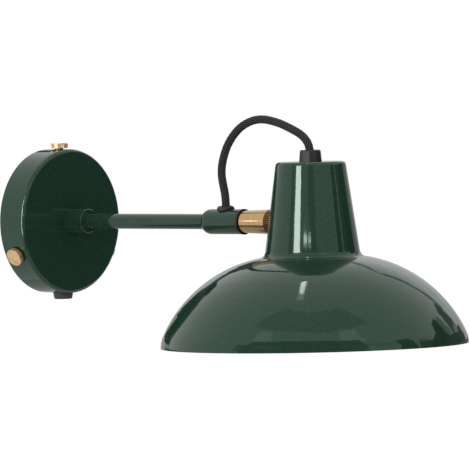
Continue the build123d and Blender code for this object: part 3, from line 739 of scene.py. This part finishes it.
def hang_card(name, low, high, elevations, distance, level, centre):
    """Hangs a card that only reflections see: low and high are the azimuths of its edges."""
    made = bmesh.new()
    lower = card_row(made, low, elevations[0], distance, centre)
    upper = card_row(made, high, elevations[1], distance, centre)
    for step in range(CARD_STEPS):
        made.faces.new((lower[step + 1], lower[step], upper[step], upper[step + 1]))
    card = add_object(name, mesh_of(name, made))
    card.data.materials.append(glow(name, level))
    for ray in REFLECTION_ONLY:
        setattr(card, f"visible_{ray}", False)


def place_softbox(name, start, end, width, distance, radiance, centre):
    """A rectangular lamp between two places round the centre, turned to it."""
    first, last = (direction(*map(math.radians, angles)) * distance for angles in (start, end))
    long_way = last - first
    middle = (first + last) / 2.0
    away = middle.normalized()
    across = long_way.cross(away).normalized()
    lamp = bpy.data.lights.new(name, "AREA")
    lamp.shape = "RECTANGLE"
    lamp.size, lamp.size_y = width, long_way.length
    lamp.energy = radiance * math.pi * width * long_way.length
    lamp.color = SOFTBOX_COLOUR
    box = add_object(name, lamp)
    box.matrix_world = placed(centre + middle, across, away.cross(across), away)
    box.visible_camera = False


def floor_material(studio):
    """Pale near the lamp, where the shadow falls, and white further out; clear from below."""
    material, graph = new_material("studio_floor")
    place = graph.scaled(graph.place(), LEVEL_PART)
    out = graph.vector("LENGTH", place, output="Value")
    grain = graph.noise(place, FLOOR_GRAIN_SIZE).ramp(*FLOOR_GRAIN_STOPS)
    paler = colour([min(1.0, FLOOR_PALEST * c) for c in studio.floor_colour])
    shade = graph.mix(grain, colour(studio.floor_colour), paler)
    near = graph.node("ShaderNodeBsdfDiffuse", inputs={"Color": shade})
    far = graph.node("ShaderNodeEmission", inputs={"Color": WHITE, "Strength": 1.0})
    end_clear_behind(graph, graph.mix_shaders(out.ramp(*WHITE_FLOOR_STOPS), near, far))
    return material


def lay_floor(studio):
    made = bmesh.new()
    bmesh.ops.create_circle(made, cap_ends=True, segments=FLOOR_SIDES, radius=studio.floor_radius)
    floor = add_object("floor", mesh_of("floor", made))
    floor.location = (0.0, studio.centre_y, studio.floor_height)
    floor.data.materials.append(floor_material(studio))


def light_world(studio):
    """White behind the lamp and in its reflections, and softer as a light."""
    world = bpy.data.worlds.new("studio")
    world.use_nodes = True
    bpy.context.scene.world = world
    graph = Graph(world.node_tree)
    seen = [graph.node("ShaderNodeLightPath", output=ray) for ray in SEEN_RAYS]
    direct = (seen[0] + seen[1] + seen[2]) > 0.5
    dim, white = (
        graph.node("ShaderNodeBackground", inputs={"Color": WHITE, "Strength": strength})
        for strength in (studio.ambient, 1.0)
    )
    graph.end(graph.mix_shaders(direct, dim, white), "ShaderNodeOutputWorld")


def set_camera(studio):
    """The camera stands as the photograph's did, turned so that the lamp sits off the middle."""
    back = direction(studio.azimuth, studio.elevation)
    right = Vector((math.cos(studio.azimuth), math.sin(studio.azimuth), 0.0))
    up = back.cross(right)
    turned_right = right * math.cos(studio.roll) + up * math.sin(studio.roll)
    turned_up = up * math.cos(studio.roll) - right * math.sin(studio.roll)
    reach = studio.pixels_per_metre * studio.distance
    to_the_right, upward = studio.off_centre
    ahead = (turned_right * to_the_right + turned_up * upward - back * reach).normalized()
    upright = (turned_up - ahead * turned_up.dot(ahead)).normalized()
    lens = bpy.data.cameras.new("camera")
    lens.sensor_width = SENSOR_WIDTH
    lens.lens = reach * SENSOR_WIDTH / PICTURE_WIDTH
    lens.clip_end = FARTHEST_SEEN
    camera = add_object("camera", lens)
    stand = Vector(studio.aim) + back * studio.distance
    camera.matrix_world = placed(stand, ahead.cross(upright), upright, -ahead)
    bpy.context.scene.camera = camera


# ---------------------------------------------------------------- settings
class LampColours(bpy.types.PropertyGroup):
    """Base colours of the lamp's finishes."""

    enamel: bpy.props.FloatVectorProperty(
        name="Enamel",
        description="Dark green of the cup, arm and shade",
        subtype="COLOR",
        default=(0.0120, 0.0335, 0.0200),
    )
    inside: bpy.props.FloatVectorProperty(
        name="Inside",
        description="White enamel inside the shade",
        subtype="COLOR",
        default=(0.78, 0.77, 0.72),
    )
    brass: bpy.props.FloatVectorProperty(
        name="Brass",
        description="Turned brass of the swivel",
        subtype="COLOR",
        default=(0.53, 0.37, 0.205),
    )
    screws: bpy.props.FloatVectorProperty(
        name="Screws",
        description="Pale brass of the thumb screws",
        subtype="COLOR",
        default=(0.69, 0.50, 0.31),
    )
    knurl: bpy.props.FloatVectorProperty(
        name="Knurl",
        description="Dark brass of the knurled ring",
        subtype="COLOR",
        default=(0.17, 0.095, 0.036),
    )
    braid: bpy.props.FloatVectorProperty(
        name="Braid",
        description="Textile over the flex",
        subtype="COLOR",
        default=(0.006, 0.006, 0.006),
    )
    porcelain: bpy.props.FloatVectorProperty(
        name="Porcelain",
        description="Lampholder insert",
        subtype="COLOR",
        default=(0.82, 0.80, 0.74),
    )


class LampSizes(bpy.types.PropertyGroup):
    """Sizes of the braided flex and the grommet's ring, and strengths of the enamel's texture."""

    flex_radius: bpy.props.FloatProperty(
        name="Flex radius",
        description="Half the flex's thickness",
        default=0.0034,
        unit="LENGTH",
        precision=4,
    )
    braid_strands: bpy.props.IntProperty(
        name="Strands", description="Strands plaited each way round the flex", default=10
    )
    braid_lay: bpy.props.FloatProperty(
        name="Lay",
        description="Length in which a strand goes once round",
        default=0.040,
        unit="LENGTH",
    )
    braid_relief: bpy.props.FloatProperty(
        name="Relief",
        description="How far strands stand out",
        default=0.00035,
        unit="LENGTH",
        precision=5,
    )
    braid_sides: bpy.props.IntProperty(
        name="Sides",
        description="Points round the flex",
        default=72,
    )
    braid_rings: bpy.props.IntProperty(
        name="Rings",
        description="Points along the flex",
        default=420,
    )
    grommet_ring: bpy.props.FloatProperty(
        name="Grommet ring",
        description="Radius of the middle of the cord grommet's ring",
        default=0.0053,
        unit="LENGTH",
        precision=4,
    )
    grommet_thickness: bpy.props.FloatProperty(
        name="Grommet thickness",
        description="Thickness of its ring",
        default=0.0040,
        unit="LENGTH",
        precision=4,
    )
    grommet_lift: bpy.props.FloatProperty(
        name="Grommet lift",
        description="How far its ring's middle lies above the connector",
        default=0.0008,
        unit="LENGTH",
        precision=4,
    )
    grommet_sides: bpy.props.IntProperty(
        name="Grommet sides",
        description="Points round the ring",
        default=64,
    )
    connector_radius: bpy.props.FloatProperty(
        name="Connector radius",
        description="Radius of the connector under the grommet",
        default=0.0103,
        unit="LENGTH",
        precision=4,
    )
    enamel_peel: bpy.props.FloatProperty(
        name="Orange peel", description="Strength of the enamel's fine dimples", default=0.2
    )
    enamel_wave: bpy.props.FloatProperty(
        name="Waves", description="Strength of the enamel's slow waves", default=0.12
    )


class StudioSettings(bpy.types.PropertyGroup):
    """Floor, light and camera round the lamp."""

    centre_y: bpy.props.FloatProperty(
        name="Centre", description="Middle of the lamp along the arm", default=-0.2, unit="LENGTH"
    )
    floor_height: bpy.props.FloatProperty(
        name="Floor height", description="Height of the floor", default=-0.45, unit="LENGTH"
    )
    floor_radius: bpy.props.FloatProperty(
        name="Floor radius", description="Half the floor's width", default=1.45, unit="LENGTH"
    )
    floor_colour: bpy.props.FloatVectorProperty(
        name="Floor colour",
        description="Pale floor near the lamp",
        subtype="COLOR",
        default=(0.82, 0.82, 0.82),
    )
    ambient: bpy.props.FloatProperty(
        name="Ambient", description="Strength of the soft light from all round", default=0.8
    )
    azimuth: bpy.props.FloatProperty(
        name="Azimuth",
        description="Camera's way round",
        default=math.radians(-48.236),
        subtype="ANGLE",
    )
    elevation: bpy.props.FloatProperty(
        name="Elevation",
        description="Camera above level",
        default=math.radians(1.941),
        subtype="ANGLE",
    )
    roll: bpy.props.FloatProperty(
        name="Roll", description="Camera's tilt", default=math.radians(-1.342), subtype="ANGLE"
    )
    distance: bpy.props.FloatProperty(
        name="Distance", description="Camera to lamp", default=6.0, unit="LENGTH"
    )
    aim: bpy.props.FloatVectorProperty(
        name="Aim",
        description="The place that the distance is counted from",
        default=(0.0, -0.15, -0.02),
    )
    pixels_per_metre: bpy.props.FloatProperty(
        name="Picture scale",
        description="Pixels of the picture to a metre at the lamp",
        default=1215.0,
    )
    off_centre: bpy.props.FloatVectorProperty(
        name="Off centre",
        description="How far the picture's middle is right of and above that place, in pixels",
        size=2,
        default=(51.475, 10.79),
    )


class WallLamp(bpy.types.PropertyGroup):
    """All settings of the lamp."""

    colours: bpy.props.PointerProperty(type=LampColours)
    sizes: bpy.props.PointerProperty(type=LampSizes)
    studio: bpy.props.PointerProperty(type=StudioSettings)


# ---------------------------------------------------------------- operators
class WALLLAMP_OT_flex(bpy.types.Operator):
    """Braided flex that loops from the arm's grommet into the cord grip on the neck."""

    bl_idname = "walllamp.flex"
    bl_label = "Braided flex"

    def execute(self, context):
        lamp = context.scene.wall_lamp
        points, length = even_points(flex_line(), lamp.sizes.braid_rings)
        flex = braided_tube("braided_flex", points, length, lamp.sizes.flex_radius, lamp.sizes)
        cover = braid(lamp.colours)
        flex.data.materials.append(cover)
        dress(HIDDEN_FLEX_NODES, cover)
        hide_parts("flex_loop")
        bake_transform(flex)
        return {"FINISHED"}


class WALLLAMP_OT_grommet(bpy.types.Operator):
    """Rubber grommet where the flex leaves the connector."""

    bl_idname = "walllamp.grommet"
    bl_label = "Cord grommet"

    def execute(self, context):
        ring = bedded_ring("grommet_ring", context.scene.wall_lamp.sizes)
        ring.data.materials.append(moulded("grommet_rubber", *GROMMET_RUBBER))
        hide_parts("cord_grommet")
        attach(ring, "arm")
        return {"FINISHED"}


class WALLLAMP_OT_enamel(bpy.types.Operator):
    """Dark green enamel on the wall cup, hub, arm, connector and shade."""

    bl_idname = "walllamp.enamel"
    bl_label = "Enamelled pieces"

    def execute(self, context):
        lamp = context.scene.wall_lamp
        dress(ENAMEL_NODES, green_enamel(lamp.colours, lamp.sizes))
        dress(["shade"], shade_enamel(lamp.colours, lamp.sizes))
        return {"FINISHED"}


class WALLLAMP_OT_brass(bpy.types.Operator):
    """Turned brass on the swivel, its knurled ring, the thumb screws and the terminals."""

    bl_idname = "walllamp.brass"
    bl_label = "Brass pieces"

    def execute(self, context):
        colours = context.scene.wall_lamp.colours
        dress(["swivel_barrel"], brass("turned_brass", colours.brass, *BARREL_MARKS))
        dress(["knurled_ring"], brass("dark_brass", colours.knurl, *RING_MARKS))
        dress(SCREW_NODES, brass("screw_brass", colours.screws, *SCREW_MARKS))
        return {"FINISHED"}


class WALLLAMP_OT_metal(bpy.types.Operator):
    """Zinc on the bracket and the fastenings, nickel on the lamp thread and the earth ring."""

    bl_idname = "walllamp.metal"
    bl_label = "Plated pieces"

    def execute(self, context):
        dress(STEEL_NODES, plated("zinc_steel", *ZINC))
        dress(NICKEL_NODES, plated("nickel", *NICKEL))
        return {"FINISHED"}


class WALLLAMP_OT_moulded(bpy.types.Operator):
    """Black plastic, black rubber and the white terminal block."""

    bl_idname = "walllamp.moulded"
    bl_label = "Moulded pieces"

    def execute(self, context):
        dress(MOULDED_NODES, moulded("black_plastic", *BLACK_PLASTIC))
        dress(RUBBER_NODES, moulded("black_rubber", *BLACK_RUBBER))
        dress(["terminal_block"], moulded("white_plastic", *WHITE_PLASTIC))
        return {"FINISHED"}


class WALLLAMP_OT_lampholder(bpy.types.Operator):
    """Glazed porcelain insert of the lampholder."""

    bl_idname = "walllamp.lampholder"
    bl_label = "Lampholder insert"

    def execute(self, context):
        dress(["holder_insert"], porcelain(context.scene.wall_lamp.colours))
        return {"FINISHED"}


class WALLLAMP_OT_wiring(bpy.types.Operator):
    """Brown cores and the green and yellow earth core."""

    bl_idname = "walllamp.wiring"
    bl_label = "Wiring"

    def execute(self, context):
        dress(BROWN_CORE_NODES, sheath("core_brown", BROWN_CORE))
        dress(EARTH_CORE_NODES, sheath("core_earth", EARTH_GREEN, EARTH_YELLOW))
        return {"FINISHED"}


class WALLLAMP_OT_studio(bpy.types.Operator):
    """Floor, softboxes, cards, world and camera."""

    bl_idname = "walllamp.studio"
    bl_label = "Studio"

    def execute(self, context):
        studio = context.scene.wall_lamp.studio
        set_camera(studio)
        lay_floor(studio)
        light_world(studio)
        shade_axis = Vector((0.0, SHADE_AXIS_Y, 0.0))
        for centre, cards in CARDS:
            for card in cards:
                hang_card(*card, Vector(centre))
        for box in SOFTBOXES:
            place_softbox(*box, shade_axis)
        context.scene.view_settings.view_transform = "Standard"
        return {"FINISHED"}


class WALLLAMP_PT_panel(bpy.types.Panel):
    """Lists the lamp's settings and its operators."""

    bl_idname = "WALLLAMP_PT_panel"
    bl_label = "Wall lamp"
    bl_space_type = "VIEW_3D"
    bl_region_type = "UI"
    bl_category = "Wall lamp"

    def draw(self, context):
        lamp = context.scene.wall_lamp
        for group in (lamp.colours, lamp.sizes, lamp.studio):
            box = self.layout.box()
            for name in group.bl_rna.properties.keys():
                if name not in ("rna_type", "name"):
                    box.prop(group, name)
        for operator in OPERATORS:
            self.layout.operator(operator.bl_idname)


OPERATORS = (
    WALLLAMP_OT_flex,
    WALLLAMP_OT_grommet,
    WALLLAMP_OT_enamel,
    WALLLAMP_OT_brass,
    WALLLAMP_OT_metal,
    WALLLAMP_OT_moulded,
    WALLLAMP_OT_lampholder,
    WALLLAMP_OT_wiring,
    WALLLAMP_OT_studio,
)
CLASSES = (LampColours, LampSizes, StudioSettings, WallLamp, *OPERATORS, WALLLAMP_PT_panel)


def register():
    for made in CLASSES:
        bpy.utils.register_class(made)
    bpy.types.Scene.wall_lamp = bpy.props.PointerProperty(type=WallLamp)


def unregister():
    del bpy.types.Scene.wall_lamp
    for made in reversed(CLASSES):
        bpy.utils.unregister_class(made)


def main():
    register()
    bpy.ops.walllamp.studio()
    bpy.ops.walllamp.flex()
    bpy.ops.walllamp.grommet()
    bpy.ops.walllamp.enamel()
    bpy.ops.walllamp.brass()
    bpy.ops.walllamp.metal()
    bpy.ops.walllamp.moulded()
    bpy.ops.walllamp.lampholder()
    bpy.ops.walllamp.wiring()


if __name__ == "__main__":
    main()
